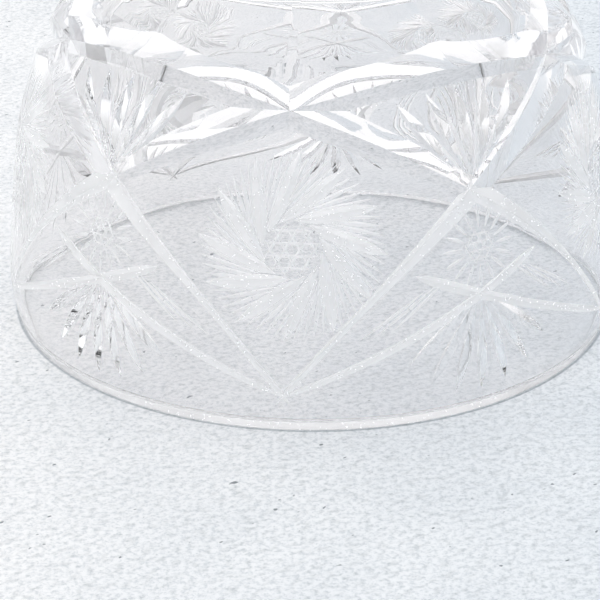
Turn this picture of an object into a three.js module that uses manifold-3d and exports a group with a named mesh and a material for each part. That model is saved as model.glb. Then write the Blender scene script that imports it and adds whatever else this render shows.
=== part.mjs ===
// Heavy cut-crystal punch bowl, turned over to rest on its rim.
// Millimetres, +Z up. The origin is the centre of the rim plane; +Z runs up towards the foot.
import * as THREE from 'three';
import { mergeVertices, toCreasedNormals } from 'three/addons/utils/BufferGeometryUtils.js';
import Module from 'manifold-3d';

// Blown blank: the outside from the rim up to the seat that the foot is bonded to. Each station
// is so much higher and so much narrower than the one below it; only the belly swells outwards.
const rimRadius = 130;
const bellyRise = 16;
const bellySwell = 2.5;
const sideRise = 30;
const sideNarrowing = 2;
const waistRise = 32;
const waistNarrowing = 3.5;
const haunchRise = 26;
const haunchNarrowing = 6.5;
const shoulderRise = 22;
const shoulderNarrowing = 9;
const crownRise = 13.5;
const crownNarrowing = 10.5;
const slopeRise = 16;
const slopeNarrowing = 19;
const seatRise = 16.5;
const seatNarrowing = 19.7;

// Blown blank: how thick the glass is from side to side, level with each of the heights above,
// and how far the inside lies below the outside where the shoulder slopes.
const rimWall = 4.6;
const bellyWall = 4.7;
const sideWall = 6;
const waistWall = 8;
const haunchWall = 10;
const shoulderWall = 11.9;
const shoulderDrop = 4;
const crownWall = 14;
const crownDrop = 1.5;
const slopeWall = 7.6;
const slopeDrop = 5.5;
const seatWall = 6.3;
const seatDrop = 13.3;
const floorThickness = 10.3;

// The lip: ground flat, eased on the outside and bevelled on the inside.
const rimFlatWidth = 1.2;
const rimEase = 0.4;
const rimBevel = 3;

// Cut pattern: it repeats every fifth of a turn.
const repeats = 5;
const patternTurn = -5;
const archAboveCrown = 0.7;
const archEndAboveBelly = 0.5;
const archPull = 0.46;
const archDepth = 7.8;
const archHalfSpan = 3;
const archHalfAngle = 52;
const vineDepth = 1.7;
const vineCrossAboveSide = 6;
const vineReach = 1.4;
const vineHalfAngle = 56;
const cutterLift = 3.5;

// Shoulder: ten flat panels that meet at upright edges and fade out above the arches.
const panelCount = 10;
const panelBelowCrown = 1.5;
const panelStartClear = 5.6;
const panelEdgeAboveCrown = 5.5;
const panelEdgeClear = 1.3;
const seatEdgeClear = 1.2;

// Foot: a separate ground disc with a hollow underside, on a thin clear film.
const bondThickness = 0.3;
const bondInset = 1.5;
const footInset = 2.3;
const footHeight = 11;
const footBevel = 2.2;
const footRingWidth = 9;
const footHollowDepth = 3.2;
const footFlutes = 20;
const footFluteRadius = 5;
const footFluteDepth = 1.1;

// How finely curves are divided, and small amounts that only the cutting tools need.
const aroundBody = 70;
const aroundFoot = 60;
const aroundFlute = 8;
const alongOutside = 21;
const alongInside = 16;
const alongArch = 26;
const alongVine = 8;
const surfaceSteps = 400;
const pathStep = 0.01;
const past = 1;
const weld = 1e-4;
const crease = Math.PI / 9;

// Everything below follows from the sizes above.
const bellyHeight = bellyRise;
const sideHeight = bellyHeight + sideRise;
const waistHeight = sideHeight + waistRise;
const haunchHeight = waistHeight + haunchRise;
const shoulderHeight = haunchHeight + shoulderRise;
const crownHeight = shoulderHeight + crownRise;
const slopeHeight = crownHeight + slopeRise;
const bodyHeight = slopeHeight + seatRise;
const bellyRadius = rimRadius + bellySwell;
const sideRadius = bellyRadius - sideNarrowing;
const waistRadius = sideRadius - waistNarrowing;
const haunchRadius = waistRadius - haunchNarrowing;
const shoulderRadius = haunchRadius - shoulderNarrowing;
const crownRadius = shoulderRadius - crownNarrowing;
const slopeRadius = crownRadius - slopeNarrowing;
const seatRadius = slopeRadius - seatNarrowing;
const footRadius = seatRadius - footInset;
const archTop = crownHeight + archAboveCrown;
const archEndHeight = bellyHeight + archEndAboveBelly;
const archDrop = archTop - archEndHeight - archPull * archHalfSpan ** 4;
const archFall = archDrop / archHalfSpan ** 2;
const vineCrossHeight = sideHeight + vineCrossAboveSide;
const panelStart = crownHeight - panelBelowCrown;
const panelEdgeHeight = crownHeight + panelEdgeAboveCrown;
const stepAngle = 2 * Math.PI / repeats;

const wasm = await Module();
wasm.setup();

function solidOf(geometry) {
  geometry.deleteAttribute('normal');
  geometry.deleteAttribute('uv');
  const welded = mergeVertices(geometry, weld);
  const corners = welded.index.array;
  const triVerts = [];
  for (let i = 0; i < corners.length; i += 3) {
    const [a, b, c] = corners.slice(i, i + 3);
    if (a !== b && b !== c && c !== a) triVerts.push(a, b, c);
  }
  return new wasm.Manifold(new wasm.Mesh({
    numProp: 3,
    vertProperties: new Float32Array(welded.attributes.position.array),
    triVerts: new Uint32Array(triVerts),
  }));
}

function meshOf(name, solid, look) {
  const cut = solid.getMesh();
  const geometry = new THREE.BufferGeometry();
  geometry.setAttribute('position', new THREE.BufferAttribute(cut.vertProperties, 3));
  geometry.setIndex(new THREE.BufferAttribute(cut.triVerts, 1));
  const mesh = new THREE.Mesh(
    toCreasedNormals(geometry, crease),
    new THREE.MeshStandardMaterial(look),
  );
  mesh.name = name;
  return mesh;
}

// A turned solid: outline points are (radius, height), listed anticlockwise.
function turned(outline, around) {
  return solidOf(new THREE.LatheGeometry(outline, around).rotateX(Math.PI / 2));
}

const at = (radius, height) => new THREE.Vector2(radius, height);

// Stations of the outside and the inside, from the rim to the crown.
const outside = new THREE.SplineCurve([
  at(rimRadius, 0), at(bellyRadius, bellyHeight), at(sideRadius, sideHeight),
  at(waistRadius, waistHeight), at(haunchRadius, haunchHeight),
  at(shoulderRadius, shoulderHeight), at(crownRadius, crownHeight),
  at(slopeRadius, slopeHeight), at(seatRadius, bodyHeight),
]);
const inside = new THREE.SplineCurve([
  at(rimRadius - rimWall, 0), at(bellyRadius - bellyWall, bellyHeight),
  at(sideRadius - sideWall, sideHeight), at(waistRadius - waistWall, waistHeight),
  at(haunchRadius - haunchWall, haunchHeight),
  at(shoulderRadius - shoulderWall, shoulderHeight - shoulderDrop),
  at(crownRadius - crownWall, crownHeight - crownDrop),
  at(slopeRadius - slopeWall, slopeHeight - slopeDrop),
  at(seatRadius - seatWall, bodyHeight - seatDrop), at(0, bodyHeight - floorThickness),
]);

// Where the outside lies at a height: its radius, and the slope of its outward normal.
const outsideSamples = outside.getPoints(surfaceSteps);
function surfaceAt(height) {
  const k = Math.max(1, outsideSamples.findIndex((point) => point.y >= height));
  const [low, high] = [outsideSamples[k - 1], outsideSamples[k]];
  const share = (height - low.y) / (high.y - low.y);
  const normal = new THREE.Vector2(high.y - low.y, low.x - high.x).normalize();
  return { radius: THREE.MathUtils.lerp(low.x, high.x, share), normal };
}

// A mitre cut: a three-sided bar bent along a path on the outside, its sharp edge inwards.
// path(t) gives { turn, height, depth } for t from 0 to 1. The bar starts as a three-sided
// cylinder of radius 1, whose corners lie at z = 1 (the sharp edge) and z = -1/2.
function mitre(path, stations, halfAngle) {
  const bar = new THREE.CylinderGeometry(1, 1, 1, 3, stations);
  const points = bar.attributes.position;
  const barHeight = 3 / 2;
  const barHalfWidth = Math.sin(Math.PI / 3);
  const place = (t) => {
    const { turn, height, depth } = path(t);
    const { radius, normal } = surfaceAt(height);
    const outward = new THREE.Vector3(Math.sin(turn) * normal.x, -Math.cos(turn) * normal.x, normal.y);
    const spot = new THREE.Vector3(Math.sin(turn) * radius, -Math.cos(turn) * radius, height);
    return { spot, outward, depth };
  };
  const openness = Math.tan(THREE.MathUtils.degToRad(halfAngle));
  for (let i = 0; i < points.count; i += 1) {
    const t = 1 / 2 - points.getY(i);
    const here = place(t);
    const ahead = place(Math.min(1, t + pathStep)).spot;
    const along = ahead.sub(place(Math.max(0, t - pathStep)).spot).normalize();
    const across = new THREE.Vector3().crossVectors(along, here.outward).normalize();
    const tall = here.depth + cutterLift;
    const rise = (1 - points.getZ(i)) / barHeight * tall - here.depth;
    const reach = points.getX(i) / barHalfWidth * tall * openness;
    const corner = here.spot.addScaledVector(here.outward, rise).addScaledVector(across, reach);
    points.setXYZ(i, corner.x, corner.y, corner.z);
  }
  return solidOf(bar);
}

// One arch sweeps over three repeats: up from a point near the rim and down to another.
function arch(turn) {
  return mitre((t) => {
    const u = (2 * t - 1) * archHalfSpan;
    const height = Math.max(archEndHeight, archTop - archFall * u ** 2 - archPull * u ** 4);
    const depth = archDepth * (1 - (u / archHalfSpan) ** 2);
    return { turn: turn + u * stepAngle / 2, height, depth };
  }, alongArch, archHalfAngle);
}

// Vines run from each point near the rim up to left and right and cross between the points.
function vine(turn, side) {
  return mitre((t) => {
    const reach = t * vineReach;
    const height = archEndHeight + (vineCrossHeight - archEndHeight) * reach;
    const depth = vineDepth * Math.sin(Math.PI * t);
    return { turn: turn + side * reach * stepAngle / 2, height, depth };
  }, alongVine, vineHalfAngle);
}

// The turned blank, from the middle of the inside down to the lip and back up the outside.
function blank() {
  const outsidePoints = outside.getPoints(alongOutside).slice(1);
  const aboveBevel = inside.getPoints(alongInside).filter((point) => point.y > rimBevel);
  const insidePoints = aboveBevel.reverse();
  const flatEnd = rimRadius - rimEase;
  const lip = [
    at(rimRadius - rimWall, rimBevel), at(flatEnd - rimFlatWidth, 0),
    at(flatEnd, 0), at(rimRadius, rimEase),
  ];
  return turned([...insidePoints, ...lip, ...outsidePoints, at(0, bodyHeight)], aroundBody);
}

// A ten-sided solid that leaves the wall alone and grinds the shoulder flat between its edges.
function panelledSolid() {
  const wide = rimRadius * 2;
  return turned([
    at(0, -past), at(wide, -past), at(wide, panelStart),
    at(surfaceAt(panelStart).radius + panelStartClear, panelStart),
    at(surfaceAt(panelEdgeHeight).radius + panelEdgeClear, panelEdgeHeight),
    at(slopeRadius, slopeHeight), at(seatRadius + seatEdgeClear, bodyHeight),
    at(0, bodyHeight + past),
  ], panelCount).rotate([0, 0, patternTurn]);
}

function bowlBody() {
  let body = blank().intersect(panelledSolid());
  for (let k = 0; k < repeats; k += 1) {
    const turn = THREE.MathUtils.degToRad(patternTurn) + k * stepAngle;
    body = body.subtract(arch(turn + stepAngle / 2));
    body = body.subtract(vine(turn, 1)).subtract(vine(turn, -1));
  }
  return body;
}

function bondFilm() {
  const flatOfSeat = seatRadius * Math.cos(Math.PI / panelCount);
  const radius = Math.min(footRadius - footBevel, flatOfSeat) - bondInset;
  const top = bodyHeight + bondThickness;
  const outline = [at(0, bodyHeight), at(radius, bodyHeight), at(radius, top), at(0, top)];
  return turned(outline, aroundFoot);
}

// The foot's hollow has a sloping edge, as steep as it is deep.
function footDisc() {
  const bottom = bodyHeight + bondThickness;
  const top = bottom + footHeight;
  const hollow = footRadius - footBevel - footRingWidth;
  let foot = turned([
    at(0, bottom), at(footRadius - footBevel, bottom), at(footRadius, bottom + footBevel),
    at(footRadius, top - footBevel), at(footRadius - footBevel, top), at(hollow, top),
    at(hollow - footHollowDepth, top - footHollowDepth), at(0, top - footHollowDepth),
  ], aroundFoot);
  for (let k = 0; k < footFlutes; k += 1) {
    const turn = 2 * Math.PI * k / footFlutes;
    const through = 2 * footHeight;
    const flute = new THREE.CylinderGeometry(footFluteRadius, footFluteRadius, through, aroundFlute);
    flute.rotateX(Math.PI / 2);
    const away = footRadius + footFluteRadius - footFluteDepth;
    flute.translate(Math.sin(turn) * away, -Math.cos(turn) * away, bottom + footHeight / 2);
    foot = foot.subtract(solidOf(flute));
  }
  return foot;
}

const crystal = { color: 0xe9eded, roughness: 0.02, metalness: 0 };
const bowl = new THREE.Group();
bowl.add(
  meshOf('bowl', bowlBody(), crystal),
  meshOf('foot_bond', bondFilm(), { color: 0xf4f6f2, roughness: 0.1, metalness: 0 }),
  meshOf('foot', footDisc(), { ...crystal, color: 0xe4e9ea }),
);

export default bowl;
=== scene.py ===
# %% [markdown]
# # A cut-crystal punch bowl, turned over on its rim
# A big lead-crystal bowl is three things: a thick blown body that the cutter has worked over with
# grinding wheels, a ground foot, and the thin clear film that joins them. All the pattern is glass
# taken away, so here it is made the same way: a smooth blank first, then cuts subtracted from it.
#
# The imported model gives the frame. The bowl stands rim down on z = 0, z runs up to the foot, and
# the camera looks along +y. Everything below is worked out in millimetres and built in metres.

# %% Load the frame
import math

import bpy
import numpy as np
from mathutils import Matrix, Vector


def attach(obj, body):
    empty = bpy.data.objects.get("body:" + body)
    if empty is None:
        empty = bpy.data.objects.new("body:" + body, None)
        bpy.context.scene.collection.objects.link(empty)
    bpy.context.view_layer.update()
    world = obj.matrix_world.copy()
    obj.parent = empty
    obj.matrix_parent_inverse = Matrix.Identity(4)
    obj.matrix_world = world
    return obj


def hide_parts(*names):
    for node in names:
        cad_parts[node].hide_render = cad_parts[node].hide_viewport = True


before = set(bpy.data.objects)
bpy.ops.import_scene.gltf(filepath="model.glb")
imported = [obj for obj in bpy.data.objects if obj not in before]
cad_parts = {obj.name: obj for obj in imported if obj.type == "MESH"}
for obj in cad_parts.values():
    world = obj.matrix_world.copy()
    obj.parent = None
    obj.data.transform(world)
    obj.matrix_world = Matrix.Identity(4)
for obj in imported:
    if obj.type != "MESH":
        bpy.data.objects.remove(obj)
bpy.context.view_layer.update()

MM = 0.001

# %% [markdown]
# ## Two helpers for materials
# Colours are written as people read them, six hex digits in sRGB, but a shader works in linear
# light, so one function turns the first into the second. The other adds a node to a tree and
# wires it up: constants and links go to its sockets by name or number, and a colour ramp also
# takes its stops.

# %% Colours and nodes


def linear(hex_colour):
    """A six-digit sRGB hex as linear RGBA, as shader sockets want it."""
    levels = [int(hex_colour[i:i + 2], 16) / 255 for i in (0, 2, 4)]
    return [v / 12.92 if v <= 0.04045 else ((v + 0.055) / 1.055) ** 2.4 for v in levels] + [1.0]


def add_node(tree, kind, sockets=None, stops=(), **settings):
    """Adds one shader node with its own settings, socket values or links, and ramp stops."""
    node = tree.nodes.new(kind)
    for name, value in settings.items():
        setattr(node, name, value)
    for name, value in (sockets or {}).items():
        if isinstance(value, bpy.types.NodeSocket):
            tree.links.new(value, node.inputs[name])
        else:
            node.inputs[name].default_value = value
    for place, (position, hex_colour) in enumerate(stops):
        elements = node.color_ramp.elements
        element = elements[place] if place < 2 else elements.new(position)
        element.position, element.color = position, linear(hex_colour)
    return node


print("crystal white in linear light:", [round(v, 3) for v in linear("faf9f9")])

# %% [markdown]
# ## Camera
# A long lens well back from the bowl, so the near and far halves of the rim are almost the same
# size. It looks down at the near wall from about 26 degrees, and the view is tight: the foot stays
# out of it. Its place is given in rim radii, because the bowl's size is what it was set up for.

# %% Camera
RIM_RADIUS = 130
CAMERA_AWAY, CAMERA_UP = 8.0, 3.858
LOOK_DOWN, SIDE_TURN = math.radians(25.98), math.radians(0.30)

camera_data = bpy.data.cameras.new("camera")
camera = bpy.data.objects.new("camera", camera_data)
bpy.context.scene.collection.objects.link(camera)
bpy.context.scene.camera = camera
camera.location = (0, -CAMERA_AWAY * RIM_RADIUS * MM, CAMERA_UP * RIM_RADIUS * MM)
camera.rotation_euler = (math.pi / 2 - LOOK_DOWN, 0, SIDE_TURN)
camera_data.sensor_width = 36
camera_data.lens = 156
camera_data.clip_start = 0.05
print("camera", [round(v, 3) for v in camera.location], "lens", camera_data.lens)

# %% [markdown]
# ## The blank's outline
# The blower leaves a thick bowl with no pattern. Its outside swells a little above the lip, leans
# in up the side and turns over at the shoulder towards the seat for the foot. The wall grows from
# 4.6 mm at the lip to a floor of 10 mm. A handful of stations and a smooth curve through them say
# all of this; more points would only let the curve wobble. The lip is ground last: a flat just
# over 1 mm wide, eased outside and bevelled 3 mm inside.

# %% The blank's outline
SEAT = 172
OUTSIDE = [(RIM_RADIUS, 0), (132.5, 16), (130.5, 46), (127, 78), (120.5, 104), (111.5, 126),
           (101, 139.5), (82, 155.5), (62.3, SEAT)]
WALLS = [4.6, 4.7, 6, 8, 10]
FLOOR_INSIDE = [(99.6, 122), (87, 138), (74.4, 150), (56, 158.7), (0, 161.7)]
RIM_FLAT, RIM_EASE, RIM_BEVEL = 1.2, 0.4, 3
OUTSIDE_STEPS, INSIDE_STEPS = 12, 7


def through(stations, steps):
    """A smooth curve through the stations: (radius, height) rows in millimetres."""
    p = np.array([stations[0]] + list(stations) + [stations[-1]], float)
    rows = []
    for i in range(1, len(p) - 2):
        t = np.linspace(0, 1, steps, endpoint=False)[:, None]
        m0, m1 = (p[i + 1] - p[i - 1]) / 2, (p[i + 2] - p[i]) / 2
        h = 2 * t**3 - 3 * t**2 + 1, t**3 - 2 * t**2 + t, 3 * t**2 - 2 * t**3, t**3 - t**2
        rows.append(h[0] * p[i] + h[1] * m0 + h[2] * p[i + 1] + h[3] * m1)
    return np.vstack(rows + [p[-1:]])


outside = through(OUTSIDE, OUTSIDE_STEPS)
beside = [(r - wall, z) for (r, z), wall in zip(OUTSIDE, WALLS)]
inside = through(beside + FLOOR_INSIDE, INSIDE_STEPS)
lip = [(RIM_RADIUS - WALLS[0], RIM_BEVEL), (RIM_RADIUS - RIM_EASE - RIM_FLAT, 0),
       (RIM_RADIUS - RIM_EASE, 0), (RIM_RADIUS, RIM_EASE)]
outline = np.vstack([inside[inside[:, 1] > RIM_BEVEL][::-1], lip, outside[1:], [(0, SEAT)]])
print("outline:", len(outline), "points, widest", outside[:, 0].max(), "mm from the axis")

# %% [markdown]
# ## Turning the blank
# The outline is turned round the axis in 360 steps. At this size a step is 2.3 mm long and strays
# 0.005 mm from the true circle, which keeps reflections smooth. The same function will turn the
# panel grinder's block, the foot and the bond, with fewer steps where flats are wanted.

# %% Turning
BLANK_STEPS = 360


def mesh_object(name, points_mm, faces):
    """An object from points in millimetres and lists of corners."""
    mesh = bpy.data.meshes.new(name)
    mesh.from_pydata((np.asarray(points_mm) * MM).tolist(), [], faces)
    thing = bpy.data.objects.new(name, mesh)
    bpy.context.scene.collection.objects.link(thing)
    return thing


def turned(name, outline, around, start=0.0):
    """A closed solid of revolution. The outline's first and last rows lie on the axis."""
    ring = outline[1:-1]
    angles = start + np.arange(around) * 2 * math.pi / around
    points = [(r * math.sin(a), -r * math.cos(a), z) for a in angles for r, z in ring]
    points += [(0, 0, outline[0][1]), (0, 0, outline[-1][1])]
    n, faces = len(ring), []
    for i in range(around):
        a, b = i * n, (i + 1) % around * n
        faces += [(a + k, b + k, b + k + 1, a + k + 1) for k in range(n - 1)]
        faces += [(len(points) - 2, b, a), (len(points) - 1, a + n - 1, b + n - 1)]
    return mesh_object(name, points, faces)


bowl = turned("bowl_crystal", outline, BLANK_STEPS)
print("blank:", len(bowl.data.vertices), "points")

# %% [markdown]
# ## Crystal
# Full lead crystal is potash glass with about a quarter of lead oxide. It bends light at 1.55 and
# is nearly colourless: a hair of warmth stands for the light lost along the long paths inside it.
# One glass carries several finishes, and they differ in how rough the surface is:
#
# - the fire-polished blank is as smooth as glass gets, but it still rolls by hundredths of a
#   millimetre over a centimetre or two, which makes reflections swim;
# - leaves polished in the acid bath keep a faint bloom, in grains of about a millimetre;
# - mitres left satin scatter light, so part of it comes back as plain white;
# - fine cuts stay as the stone left them, with the grit's grain in them. The real grain is a tenth
#   of a millimetre and wouldn't show, so it is drawn ten times as coarse.
#
# The foot is the same glass from another pot, and the bond is a clear cured resin, which bends
# light a little less, at 1.48.

# %% Crystal finishes


def crystal(name, colour, roughness, grain_mm, roll_mm=None, roll_height_mm=None, **settings):
    """Clear crystal: roughness runs between two values in grains, and the surface may roll."""
    material = bpy.data.materials.new(name)
    material.use_nodes = True
    tree = material.node_tree
    tree.nodes.clear()
    coords = add_node(tree, "ShaderNodeTexCoord").outputs["Object"]
    grains = add_node(tree, "ShaderNodeTexNoise", {
        "Vector": coords, "Scale": 1 / (grain_mm * MM), "Detail": 3.0}).outputs["Fac"]
    rough = add_node(tree, "ShaderNodeMapRange", {
        "Value": grains, "From Min": 0.3, "From Max": 0.7,
        "To Min": roughness[0], "To Max": roughness[1]}).outputs[0]
    shader = add_node(tree, "ShaderNodeBsdfPrincipled", {
        "Base Color": linear(colour), "Roughness": rough, "IOR": 1.55,
        "Transmission Weight": 1.0, **settings})
    if roll_mm:
        roll = add_node(tree, "ShaderNodeTexNoise", {
            "Vector": coords, "Scale": 1 / (roll_mm * MM), "Detail": 1.0}).outputs["Fac"]
        relief = add_node(tree, "ShaderNodeBump", {
            "Height": roll, "Strength": 1.0, "Distance": roll_height_mm * MM}).outputs[0]
        tree.links.new(relief, shader.inputs["Normal"])
    add_node(tree, "ShaderNodeOutputMaterial", {"Surface": shader.outputs[0]})
    print(name, "roughness", roughness)
    return material


finishes = [
    crystal("lead_crystal", "faf9f9", roughness=(0.0, 0.006), grain_mm=40,
            roll_mm=16, roll_height_mm=0.03),
    crystal("satin_mitre_crystal", "ffffff", roughness=(0.22, 0.28), grain_mm=1.5,
            **{"Transmission Weight": 0.5}),
    crystal("fine_cut_crystal", "ffffff", roughness=(0.27, 0.33), grain_mm=1.2,
            **{"Transmission Weight": 0.75}),
    crystal("acid_polished_crystal", "fcfcfc", roughness=(0.02, 0.07), grain_mm=1.2,
            roll_mm=2.4, roll_height_mm=0.02),
]
POLISHED, SATIN, FINE, LEAF = range(4)
foot_crystal = crystal("foot_crystal", "fcfbfc", roughness=(0.0, 0.02), grain_mm=30,
                       roll_mm=18, roll_height_mm=0.03)
clear_bond = crystal("clear_bond", "fdfdfd", roughness=(0.02, 0.06), grain_mm=5,
                     roll_mm=8, roll_height_mm=0.01, IOR=1.48)

# %% [markdown]
# ## The ground lip
# The lip is ground on a flat wheel and left satin, so its flat and its inner bevel scatter light
# into an even pale line. They belong to the blank's own mesh: only their finish changes.

# %% The ground lip
for material in finishes:
    bowl.data.materials.append(material)
INSIDE_OF_OUTER_WALL = RIM_RADIUS - 0.1
ground = [face for face in bowl.data.polygons
          if face.center.z < RIM_BEVEL * MM and face.center.xy.length < INSIDE_OF_OUTER_WALL * MM]
for face in ground:
    face.material_index = SATIN
print("ground faces on the lip:", len(ground))

# %% [markdown]
# ## Mitre cuts
# The cutter presses the bowl on a wheel whose edge is a V. Each cut could be drawn into a texture,
# but light bends at every facet, so only real facets look right. Here each cut is a three-sided
# bar: it follows a line on the outside, its sharp edge is sunk by the depth, and its back stands a
# little proud of the glass so that the surface is cut clean. The bar is subtracted from the blank.

# %% A bar along a line on the blank
HALF_ANGLE = math.radians(56)
PROUD = 1.6

slope = np.gradient(outside, axis=0)
outside_normal = np.stack([slope[:, 1], -slope[:, 0]], 1)
outside_normal /= np.linalg.norm(outside_normal, axis=1)[:, None]


def on_blank(turn, height):
    """Points and outward normals on the outside, for arrays of angle (rad) and height (mm)."""
    r = np.interp(height, outside[:, 1], outside[:, 0])
    nr = np.interp(height, outside[:, 1], outside_normal[:, 0])
    nz = np.interp(height, outside[:, 1], outside_normal[:, 1])
    point = np.stack([r * np.sin(turn), -r * np.cos(turn), height], -1)
    normal = np.stack([nr * np.sin(turn), -nr * np.cos(turn), nz], -1)
    return point, normal / np.linalg.norm(normal, axis=-1, keepdims=True)


def groove(point, normal, depths, half_angle, lift):
    """A V-shaped cutter along points, with its normals outwards: (points, faces)."""
    along = np.gradient(point, axis=0)
    across = np.cross(along, normal)
    across /= np.linalg.norm(across, axis=1)[:, None]
    depths = np.asarray(depths)[:, None]
    wide = (depths + lift) * math.tan(half_angle)
    keel = point - depths * normal
    left, right = point + lift * normal + wide * across, point + lift * normal - wide * across
    points = np.stack([keel, left, right], 1).reshape(-1, 3)
    n = len(point)
    faces = [(3 * i + b, 3 * i + a, 3 * i + 3 + a, 3 * i + 3 + b)
             for i in range(n - 1) for a, b in ((0, 1), (1, 2), (2, 0))]
    faces += [(0, 1, 2), (3 * n - 1, 3 * n - 2, 3 * n - 3)]
    return points, faces


def mitre(turns, heights, depths, half_angle=HALF_ANGLE, lift=PROUD):
    """One cut along stations of angle, height and depth (rad, mm, mm): (points, faces)."""
    return groove(*on_blank(np.asarray(turns), np.asarray(heights)), depths, half_angle, lift)


print("a 2 mm cut is", round(2 * 2 * math.tan(HALF_ANGLE), 1), "mm wide")

# %% [markdown]
# ## Leaf cuts
# When the wheel is pressed in and lifted out again, the cut is shaped like a leaf: pointed at both
# ends, widest where it is deepest. The depth is a parabola along the line, and `peak` slides its
# deepest place towards one end, as on a fan's leaves.

# %% A leaf
OVER = 0.03


def leaf(start, end, depth, stations=15, peak=0.5, **kind):
    """A lens-shaped cut from one (turn, height) to another, deepest at peak."""
    s = np.linspace(-OVER, 1 + OVER, stations)
    turns = start[0] + (end[0] - start[0]) * s
    heights = start[1] + (end[1] - start[1]) * s
    bend = math.log(0.5) / math.log(peak)
    u = np.sign(s) * np.abs(s) ** bend
    return mitre(turns, heights, depth * 4 * u * (1 - u), **kind)


print("a leaf has", len(leaf((0, 20), (0, 60), 2)[0]), "points")

# %% [markdown]
# ## Cutting all round
# The pattern comes five times round the bowl. Cuts that cross one another are fused first, then
# the fused cutter is copied to the other four places and everything is subtracted at once. A
# cutter carries the same four finishes as the blank, so every facet it leaves has its own finish.
# The manifold solver is used because it is quick and keeps each cutter's finish on its facets.

# %% Cutting all round
REPEATS = 5
STEP = 2 * math.pi / REPEATS


def combine(thing, others, operation):
    """Joins or subtracts the others, one after another, and removes them."""
    for other in others:
        step = thing.modifiers.new(other.name, "BOOLEAN")
        step.operation, step.solver, step.object = operation, "MANIFOLD", other
    depsgraph = bpy.context.evaluated_depsgraph_get()
    mesh = bpy.data.meshes.new_from_object(thing.evaluated_get(depsgraph))
    thing.modifiers.clear()
    thing.data = mesh
    for other in others:
        bpy.data.objects.remove(other)
    return thing


def carve(name, cuts, finish):
    """Cuts every repeat of some cuts into the bowl: finish is one for all, or one a face."""
    tools = [mesh_object(name, *cut) for cut in cuts]
    for tool in tools:
        for material in finishes:
            tool.data.materials.append(material)
        faces = finish if np.ndim(finish) else [finish] * len(tool.data.polygons)
        tool.data.polygons.foreach_set("material_index", faces)
    turns = [combine(tools[0], tools[1:], "UNION")]
    for k in range(1, REPEATS):
        turns.append(turns[0].copy())
        bpy.context.scene.collection.objects.link(turns[-1])
        turns[-1].rotation_euler.z = k * STEP
    combine(bowl, turns, "DIFFERENCE")
    print(name, len(cuts), "cuts a repeat,", len(bowl.data.polygons), "faces")


# %% [markdown]
# ## Arches
# Five long mitres sweep over the bowl. Each starts low at one point, climbs over three repeats
# and comes down again, so its neighbours cross it twice on each side. It is cut almost 8 mm deep
# on top and runs out thin at its feet. Past the lower crossings it stays satin; above them it is
# polished. The line is an even curve in height, and u counts half repeats from its middle.

# %% Arches
PATTERN_TURN = math.radians(-5)
ARCH_TOP, ARCH_RISE, ARCH_PULL = 140.2, 9.6, 0.46
ARCH_DEPTH, ARCH_LEAST, ARCH_FADE, ARCH_HALF_ANGLE = 7.8, 1.1, 1.35, math.radians(52)
ARCH_SPAN, ARCH_END, ARCH_STATIONS, ARCH_PROUD = 3, 3.05, 160, 3.5
ARCH_STOP, ARCH_STOP_SLOPE = 3.03, 30
LOWER_CROSSING = 2

u = np.linspace(-ARCH_END, ARCH_END, ARCH_STATIONS)
heights = ARCH_TOP - ARCH_RISE * u**2 - ARCH_PULL * u**4
fade = np.maximum(1 - (u / ARCH_SPAN) ** 2, 0) ** ARCH_FADE
depths = np.maximum(ARCH_DEPTH * fade, ARCH_LEAST)
depths = np.minimum(depths, ARCH_STOP_SLOPE * (ARCH_STOP - np.abs(u)))
arch = mitre(PATTERN_TURN + STEP / 2 + u * STEP / 2, heights, depths,
             half_angle=ARCH_HALF_ANGLE, lift=ARCH_PROUD)

stretches = np.repeat(np.abs(np.linspace(-ARCH_END, ARCH_END, ARCH_STATIONS - 1)), 3)
arch_faces = np.append(np.where(stretches > LOWER_CROSSING, SATIN, POLISHED), [SATIN, SATIN])
carve("arch", [arch], arch_faces)

# %% [markdown]
# ## Vines
# From each low point where the arches end, a shallow satin cut climbs to either side, crosses the
# one from the next point half a repeat on, and ends in a leaf tip beyond the crossing. It keeps
# nearly one depth, a little more towards its tip, and closes quickly at both ends, which the
# twelfth power gives.

# %% Vines
POINT_HEIGHT, VINE_CROSS_HEIGHT, VINE_REACH, VINE_DEPTH = 16.5, 52, 1.36, 1.5
VINE_CLOSING, VINE_OVER, VINE_STATIONS = 12, 0.02, 40
VINE_DEPTH_LOW, VINE_DEPTH_GAIN = 0.6, 0.5

s = np.linspace(-VINE_OVER, 1 + VINE_OVER, VINE_STATIONS)
heights = POINT_HEIGHT + (VINE_CROSS_HEIGHT - POINT_HEIGHT) * s * VINE_REACH
closing = 1 - (2 * s - 1) ** VINE_CLOSING
depths = VINE_DEPTH * closing * (VINE_DEPTH_LOW + VINE_DEPTH_GAIN * s)
for side in (1, -1):
    carve("vines", [mitre(PATTERN_TURN + side * s * VINE_REACH * STEP / 2, heights, depths)], SATIN)

# %% [markdown]
# ## Upper fans
# Five leaves spread upwards from each arch crossing to just under the shoulder, with a finer cut
# in each gap. The leaves come from a slightly sharper wheel. Their tips lie on a shallow bow, so
# the outer ones end lower.

# %% Upper fans
FAN_TURN = PATTERN_TURN + STEP / 2
CROSSING_HEIGHT = 94
LEAF_HALF_ANGLE = math.radians(50)
UPPER_DEPTH, UPPER_PEAK, UPPER_TOP, UPPER_GATHER, UPPER_START = 2.4, 0.6, 132.5, 0.06, 3
GAP_DEPTH, GAP_TOP, GAP_GATHER, GAP_START = 0.9, 125, 0.1, 5
BOW = 0.012


def upward(offset, top, gather, start):
    """A leaf's two ends: offset is the tip's angle from the fan's middle in degrees."""
    lean = math.radians(offset)
    low_end = (FAN_TURN + lean * gather, CROSSING_HEIGHT + start)
    return low_end, (FAN_TURN + lean, top - BOW * offset**2)


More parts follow.
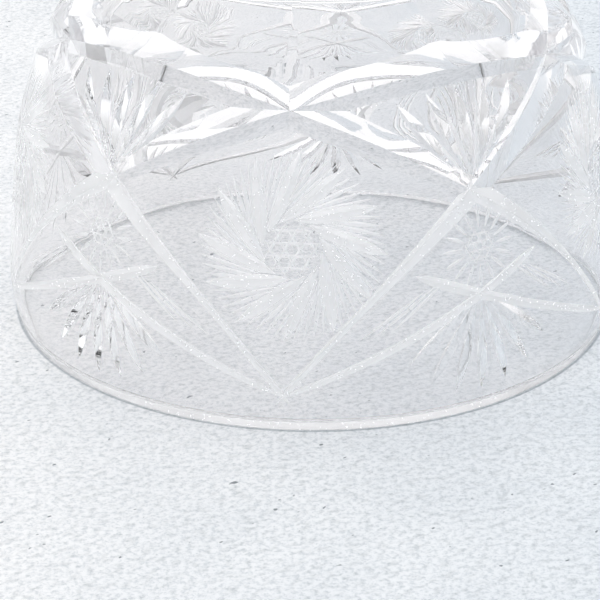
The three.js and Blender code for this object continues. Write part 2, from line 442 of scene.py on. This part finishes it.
leaves = [leaf(*upward(offset, UPPER_TOP, UPPER_GATHER, UPPER_START), UPPER_DEPTH,
               peak=UPPER_PEAK, half_angle=LEAF_HALF_ANGLE) for offset in (-14, -7, 0, 7, 14)]
carve("upper fan", leaves, LEAF)
fine = [leaf(*upward(offset, GAP_TOP, GAP_GATHER, GAP_START), GAP_DEPTH)
        for offset in (-10.5, -3.5, 3.5, 10.5)]
carve("upper fan, fine", fine, FINE)

# %% [markdown]
# ## Lower fans
# Seven leaves spread down from each vine crossing almost to the lip. They are all of one length,
# so their tips lie on part of a circle round the crossing.

# %% Lower fans
FAN_REACH, FAN_RADIUS, FAN_SPREAD = 41.5, 131, 2.6
LOWER_DEPTH, LOWER_PEAK, LOWER_GATHER, LOWER_START = 2.1, 0.58, 0.12, 3

leaves = []
for offset in (-20, -13, -6.5, 0, 6.5, 13, 20):
    lean = math.radians(offset * FAN_SPREAD)
    start = (FAN_TURN + math.radians(offset * LOWER_GATHER), VINE_CROSS_HEIGHT - LOWER_START)
    end = (FAN_TURN + math.sin(lean) * FAN_REACH / FAN_RADIUS,
           VINE_CROSS_HEIGHT - FAN_REACH * math.cos(lean))
    leaves.append(leaf(start, end, LOWER_DEPTH, peak=LOWER_PEAK, half_angle=LEAF_HALF_ANGLE))
carve("lower fan", leaves, LEAF)

# %% [markdown]
# ## Pinwheels
# In the middle of each repeat twelve satin blades lean round a hub, all the same way, so the
# wheel seems to turn. The hub is a lattice: three families of parallel fine cuts that cross as
# small stars. Between the blades are sheaves of four fine cuts. Places are given from the hub as
# a distance and a direction, and turned into an angle round the bowl at its mean radius.

# %% The hub's lattice
HUB_TURN, HUB_HEIGHT = PATTERN_TURN + math.radians(1.5), 78
HUB_RADIUS, WHEEL_RADIUS, BLADES = 11.5, 38, 12
HUB_GAP, HUB_DEPTH = 5, 0.45
MEAN_RADIUS = 127
FINE_PROUD = 0.6


def from_hub(reach, angle, hub=(HUB_TURN, HUB_HEIGHT)):
    """(turn, height) at a distance (mm) and direction (degrees) from a hub."""
    a = math.radians(angle)
    return hub[0] + reach * math.cos(a) / MEAN_RADIUS, hub[1] + reach * math.sin(a)


def lattice(hub, radius, gap, depth):
    """Three families of parallel fine cuts that cross as small stars."""
    cuts = []
    for angle in (0, 60, 120):
        for row in (-1.5, -0.5, 0.5, 1.5):
            half = math.sqrt(radius**2 - (row * gap) ** 2)
            lean = math.degrees(math.atan2(row * gap, half))
            ends = [from_hub(radius, angle + lean, hub), from_hub(radius, angle + 180 - lean, hub)]
            cuts.append(leaf(*ends, depth, stations=7, lift=FINE_PROUD))
    return cuts


carve("hub", lattice((HUB_TURN, HUB_HEIGHT), HUB_RADIUS, HUB_GAP, HUB_DEPTH), FINE)

# %% [markdown]
# A blade leaves the hub in one direction and reaches the wheel's edge 64 degrees further round:
# that lean is what makes it a pinwheel and not a star. The fine cuts of a sheaf start a little
# outside the hub, swung part of the way round already.

# %% Blades and the fine cuts between them
BLADE_DEPTH, BLADE_HALF_ANGLE = 2.7, math.radians(50)
FIRST_ROOT, LEAN, SHEAF = 149, 64, 5
SHARE = 360 / BLADES
SHEAF_DEPTH, SHEAF_PROUD, SHEAF_START, SHEAF_SWING, SHEAF_SHORT = 0.65, 0.8, 15, 24, 1

blades, fine = [], []
for k in range(BLADES):
    root = FIRST_ROOT - SHARE * k
    ends = from_hub(HUB_RADIUS, root), from_hub(WHEEL_RADIUS, root - LEAN)
    blades.append(leaf(*ends, BLADE_DEPTH, half_angle=BLADE_HALF_ANGLE))
    for j in range(1, SHEAF):
        on = j / SHEAF * SHARE
        start = from_hub(SHEAF_START, root - SHEAF_SWING - on)
        end = from_hub(WHEEL_RADIUS - SHEAF_SHORT, root - LEAN - on)
        fine.append(leaf(start, end, SHEAF_DEPTH, stations=9, lift=SHEAF_PROUD))
carve("pinwheel blades", blades, SATIN)
carve("pinwheel, fine", fine, FINE)

# %% [markdown]
# ## Small stars
# Between an arch crossing and the vine crossing under it is a diamond of plain glass. A smaller
# lattice with sixteen short rays fills it.

# %% Small stars
STAR, STAR_RADIUS, STAR_GAP, STAR_DEPTH = (FAN_TURN, 72), 7, 3.4, 0.35
STAR_RAYS, RAY_INNER, RAY_OUTER, STAR_RAY_DEPTH = 16, 7.5, 17, 0.55

star = lattice(STAR, STAR_RADIUS, STAR_GAP, STAR_DEPTH)
for k in range(STAR_RAYS):
    angle = 360 / STAR_RAYS * k
    ends = from_hub(RAY_INNER, angle, STAR), from_hub(RAY_OUTER, angle, STAR)
    star.append(leaf(*ends, STAR_RAY_DEPTH, stations=7, lift=FINE_PROUD))
carve("small star", star, FINE)

# %% [markdown]
# ## Fine mitres
# Three light strokes lie beside the foot of each arch, on both sides of its low point.

# %% Fine mitres
STROKE_DEPTH, STROKE_RISE = 0.45, 1.5
STROKE_FROM, STROKE_FROM_GAP, STROKE_FROM_HEIGHT = 13, 3, 40
STROKE_TO, STROKE_TO_GAP, STROKE_TO_HEIGHT = 25, 2, 58

for side in (1, -1):
    fine = []
    for row in range(3):
        start = (PATTERN_TURN + side * math.radians(STROKE_FROM + STROKE_FROM_GAP * row),
                 STROKE_FROM_HEIGHT + STROKE_RISE * row)
        end = (PATTERN_TURN + side * math.radians(STROKE_TO + STROKE_TO_GAP * row),
               STROKE_TO_HEIGHT + STROKE_RISE * row)
        fine.append(leaf(start, end, STROKE_DEPTH, stations=9, lift=FINE_PROUD))
    carve("fine mitres", fine, FINE)

# %% [markdown]
# ## Shoulder panels
# Above the arches the blank is ground flat in ten panels that meet at upright edges. Ten separate
# cuts would do it, but the panels are simply a turned block with ten sides: what is kept is the
# bowl that lies inside the block. Below the shoulder the block is far wider than the bowl.

# %% Shoulder panels
PANELS, CLEAR, PANEL_START = 10, 200, 138

panel_outline = [(0, -1), (CLEAR, -1), (CLEAR, PANEL_START), (108, PANEL_START), (95.8, 145),
                 (82.3, 155.5), (63.5, SEAT), (0, SEAT + 1)]
panels = turned("panels", panel_outline, PANELS, PATTERN_TURN)
combine(bowl, [panels], "INTERSECT")
print("bowl:", len(bowl.data.polygons), "faces")

# %% [markdown]
# ## Foot
# The foot is a separate ground disc. Its edge has twenty shallow flutes, ground with a round
# wheel, and its underside, which faces up here, is hollowed so that the bowl stands on a ring.
# A star of 24 rays is cut in the hollow: twelve mitres right across, deepest in the middle.

# %% Foot
FOOT_RADIUS, FOOT_HEIGHT, FOOT_BEVEL, RING_WIDTH, HOLLOW_DEPTH = 60, 11, 2.2, 9, 3.2
FLUTES, FLUTE_RADIUS, FLUTE_DEPTH, FLUTE_LENGTH = 20, 5, 1.1, 40
RAY_LINES, RAY_REACH, RAY_DEPTH, RAY_STATIONS = 12, 42, 0.9, 31
RAY_OVER = 0.03
BOND = 0.3
FOOT_STEPS, FLUTE_STEPS = 180, 40

low, high = SEAT + BOND, SEAT + BOND + FOOT_HEIGHT
hollow = FOOT_RADIUS - FOOT_BEVEL - RING_WIDTH
foot = turned("foot_disc", [
    (0, low), (FOOT_RADIUS - FOOT_BEVEL, low), (FOOT_RADIUS, low + FOOT_BEVEL),
    (FOOT_RADIUS, high - FOOT_BEVEL), (FOOT_RADIUS - FOOT_BEVEL, high), (hollow, high),
    (hollow - HOLLOW_DEPTH, high - HOLLOW_DEPTH), (0, high - HOLLOW_DEPTH)], FOOT_STEPS)

flutes = []
for k in range(FLUTES):
    a = k * 2 * math.pi / FLUTES
    away = (FOOT_RADIUS + FLUTE_RADIUS - FLUTE_DEPTH) * MM
    bpy.ops.mesh.primitive_cylinder_add(
        vertices=FLUTE_STEPS, radius=FLUTE_RADIUS * MM, depth=FLUTE_LENGTH * MM)
    flute = bpy.context.object
    flute.location = (math.sin(a) * away, -math.cos(a) * away, (low + high) / 2 * MM)
    flutes.append(flute)

rays = []
for k in range(RAY_LINES):
    a = k * math.pi / RAY_LINES
    t = np.linspace(-1 - RAY_OVER, 1 + RAY_OVER, RAY_STATIONS)
    level = np.full(RAY_STATIONS, high - HOLLOW_DEPTH)
    line = np.stack([t * RAY_REACH * math.sin(a), t * RAY_REACH * math.cos(a), level], 1)
    upwards = np.tile([0.0, 0.0, 1.0], (RAY_STATIONS, 1))
    ray = groove(line, upwards, RAY_DEPTH * (1 - t**2), HALF_ANGLE, FINE_PROUD)
    rays.append(mesh_object("ray", *ray))
combine(rays[0], rays[1:], "UNION")
combine(foot, flutes + rays[:1], "DIFFERENCE")
print("foot:", len(foot.data.polygons), "faces, top at", high, "mm")

# %% [markdown]
# ## Bond
# A film of clear resin 0.3 mm thick fills the joint and stops short of the foot's edge, where what
# is squeezed out is wiped away. It reaches 0.02 mm into both pieces so that no air gap shows.

# %% Bond
BOND_RADIUS, SUNK, BOND_STEPS = 58.5, 0.02, 120

bond = turned("bond_film", [(0, SEAT - SUNK), (BOND_RADIUS, SEAT - SUNK),
                            (BOND_RADIUS, low + SUNK), (0, low + SUNK)], BOND_STEPS)
print("bond:", BOND_RADIUS * 2, "mm across")

# %% [markdown]
# ## Crisp cuts, smooth blank
# A facet's edge is an edge, but what is left of the blank should shade as the smooth curve it is.
# Every face is shaded smooth, and edges sharper than a few degrees are marked sharp: 14 on the
# bowl, where neighbouring faces of the blank turn by less than that and facets by more.

# %% Shading
for piece, angle in ((bowl, 14), (foot, 25), (bond, 30)):
    piece.data.shade_smooth()
    piece.data.set_sharp_from_angle(angle=math.radians(angle))
    print(piece.name, "sharp over", angle, "degrees")

# %% [markdown]
# ## Riding the frame
# Nothing on the bowl moves, so all three pieces ride the one body, and each takes the place of
# its plain solid.

# %% Finishes and places
foot.data.materials.clear()
foot.data.materials.append(foot_crystal)
bond.data.materials.append(clear_bond)
for piece, node, slot in ((bowl, "bowl", "bowl_crystal"), (foot, "foot", "foot_crystal"),
                          (bond, "foot_bond", "clear_bond")):
    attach(piece, "root")
    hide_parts(node)
    print(piece.name, "takes the place of", node)

# %% [markdown]
# ## Plaster
# The bowl stands on a board skimmed with white plaster: grains a millimetre or two across, drawn
# out along the trowel's strokes, with a few small pits and broad paler patches. Plaster is matt,
# so its roughness is high. It could be modelled as relief, but at this distance tone and a little
# bump read the same. Each layer is a noise turned into a shade, and the shades are multiplied.
# The board is painted darker and a touch bluer to the right, away from the window: painted shade
# for the light falling off there. Where the lip meets it, a thin dark ring is painted contact shadow.

# %% Plaster
GRAIN, STROKES, PITS, PATCHES = 2.2, 3.0, 3.6, 60
STROKE_ANGLE, STROKE_LENGTH = math.radians(38), 1.6
# The lip's painted contact shadow lies between these radii, in millimetres.
CONTACT_SHADOW_INNER, CONTACT_SHADOW_OUTER = 129.5, 131.5
# The painted shade runs across the board between these, in millimetres.
PAINTED_SHADE_FROM, PAINTED_SHADE_TO = -120, 220
BOARD = 8000

bpy.ops.mesh.primitive_plane_add(size=BOARD * MM)
floor = bpy.context.object
floor.name = "plaster_floor"
plaster = bpy.data.materials.new("white_plaster")
plaster.use_nodes = True
tree = plaster.node_tree
tree.nodes.clear()

position = add_node(tree, "ShaderNodeTexCoord").outputs["Object"]
stroke = add_node(tree, "ShaderNodeMapping", {
    "Vector": position, "Rotation": (0, 0, STROKE_ANGLE), "Scale": (STROKE_LENGTH, 1, 1)},
    vector_type="TEXTURE").outputs[0]
noises = [add_node(tree, "ShaderNodeTexNoise", {
    "Vector": place, "Scale": 1 / (size_mm * MM), **values}).outputs["Fac"]
    for place, size_mm, values in (
        (position, GRAIN, {"Detail": 4.0, "Roughness": 0.75}),
        (stroke, STROKES, {"Detail": 3.0, "Roughness": 0.6}),
        (stroke, PITS, {"Detail": 1.0}),
        (stroke, PATCHES, {"Detail": 2.0}))]
sideways = add_node(tree, "ShaderNodeSeparateXYZ", {0: position}).outputs["X"]
# Painted shade: darker and bluer to the right, where the window's light falls off.
painted_falloff_shade = add_node(tree, "ShaderNodeMapRange", {
    "Value": sideways, "From Min": PAINTED_SHADE_FROM * MM, "From Max": PAINTED_SHADE_TO * MM}).outputs[0]
# Painted contact shadow: a thin dark ring on the board where the lip meets it.
outwards = add_node(tree, "ShaderNodeVectorMath", {0: position}, operation="LENGTH").outputs["Value"]
ring = add_node(tree, "ShaderNodeMapRange", {
    "Value": outwards, "From Min": CONTACT_SHADOW_INNER * MM, "From Max": CONTACT_SHADOW_OUTER * MM}).outputs[0]
print("plaster layers:", len(noises) + 2)

# %% [markdown]
# Each layer's ramp says how dark its low values get. White leaves the tone as it is. The relief
# is half a millimetre deep at most and mostly less, as the trowel leaves it.

# %% The plaster's tone and relief
RELIEF, RELIEF_STRENGTH = 0.5, 0.35

layers = (
    (noises[0], ((0.36, "dadddf"), (0.54, "fafafa"))),
    (noises[1], ((0.34, "eceded"), (0.5, "ffffff"))),
    (noises[2], ((0.225, "8f9498"), (0.25, "ffffff"))),
    (noises[3], ((0.35, "f8f9fa"), (0.6, "ffffff"))),
    # painted shade, darker to the right
    (painted_falloff_shade, ((0.0, "ffffff"), (1.0, "eaf0f5"))),
    # painted contact shadow round the lip
    (ring, ((0.1, "ffffff"), (0.9, "ffffff"), (0.3, "c9cdd0"), (0.6, "c9cdd0"))),
)
tone = None
for value, stops in layers:
    shade = add_node(tree, "ShaderNodeValToRGB", {"Fac": value}, stops).outputs["Color"]
    if tone is None:
        tone = shade
        continue
    tone = add_node(tree, "ShaderNodeMix", {0: 1.0, 6: tone, 7: shade},
                    data_type="RGBA", blend_type="MULTIPLY").outputs[2]
height = add_node(tree, "ShaderNodeMath", {0: noises[0], 1: noises[1]}, operation="ADD").outputs[0]
relief = add_node(tree, "ShaderNodeBump", {
    "Height": height, "Strength": RELIEF_STRENGTH, "Distance": RELIEF * MM}).outputs[0]
shader = add_node(tree, "ShaderNodeBsdfPrincipled", {
    "Base Color": tone, "Roughness": 0.85, "IOR": 1.45, "Normal": relief})
add_node(tree, "ShaderNodeOutputMaterial", {"Surface": shader.outputs[0]})
floor.data.materials.append(plaster)
print("plaster nodes:", len(tree.nodes))

# %% [markdown]
# ## Daylight
# Clear glass shows only what is round it. One even white room would leave it flat, so the light
# falls off smoothly: brightest above and behind the bowl, dimmer towards the camera, and down to
# half to the far left and right, as walls beside a window would be. That gives the facets their
# greys. A world shader does this without lamps, whose hard glints would show in every facet.

# %% Daylight
TOWARDS_LIGHT = Vector((-0.1, 0.55, 0.83)).normalized()
DIMMEST, BRIGHTEST, AT_THE_SIDES = 0.55, 1.37, 0.5
DIM_UP_TO, BRIGHT_FROM = -0.8, 0.9
SIDE_FROM, SIDE_TO = 0.5, 0.95

world = bpy.data.worlds.new("daylight")
bpy.context.scene.world = world
world.use_nodes = True
tree = world.node_tree
tree.nodes.clear()
where = add_node(tree, "ShaderNodeTexCoord").outputs["Generated"]
facing = add_node(tree, "ShaderNodeVectorMath", {0: where, 1: TOWARDS_LIGHT}, operation="DOT_PRODUCT")
window = add_node(tree, "ShaderNodeMapRange", {
    "Value": facing.outputs["Value"], "From Min": DIM_UP_TO, "From Max": BRIGHT_FROM,
    "To Min": DIMMEST, "To Max": BRIGHTEST}).outputs[0]
sideways = add_node(tree, "ShaderNodeSeparateXYZ", {0: where}).outputs["X"]
to_a_side = add_node(tree, "ShaderNodeMath", {0: sideways}, operation="ABSOLUTE").outputs[0]
walls = add_node(tree, "ShaderNodeMapRange", {
    "Value": to_a_side, "From Min": SIDE_FROM, "From Max": SIDE_TO,
    "To Min": 1.0, "To Max": AT_THE_SIDES}).outputs[0]
strength = add_node(tree, "ShaderNodeMath", {0: window, 1: walls}, operation="MULTIPLY").outputs[0]
background = add_node(tree, "ShaderNodeBackground", {
    "Color": linear("fbfcfe"), "Strength": strength}).outputs[0]
add_node(tree, "ShaderNodeOutputWorld", {"Surface": background})
print("daylight from", [round(v, 2) for v in TOWARDS_LIGHT])

# %% [markdown]
# ## Light through thick glass
# A ray can be reflected inside a cut wall dozens of times before it gets out, and each one that is
# given up too early leaves a black speck, so many bounces are allowed. Blurring of glossy paths is
# off, because it would darken the plaster under the glass.

# %% Light paths
BOUNCES = 64

scene = bpy.context.scene
scene.view_settings.view_transform = "Standard"
scene.cycles.max_bounces = BOUNCES
scene.cycles.blur_glossy = 0
scene.cycles.transmission_bounces = BOUNCES
scene.cycles.glossy_bounces = BOUNCES
scene.cycles.transparent_max_bounces = 8
print("bounces:", BOUNCES)
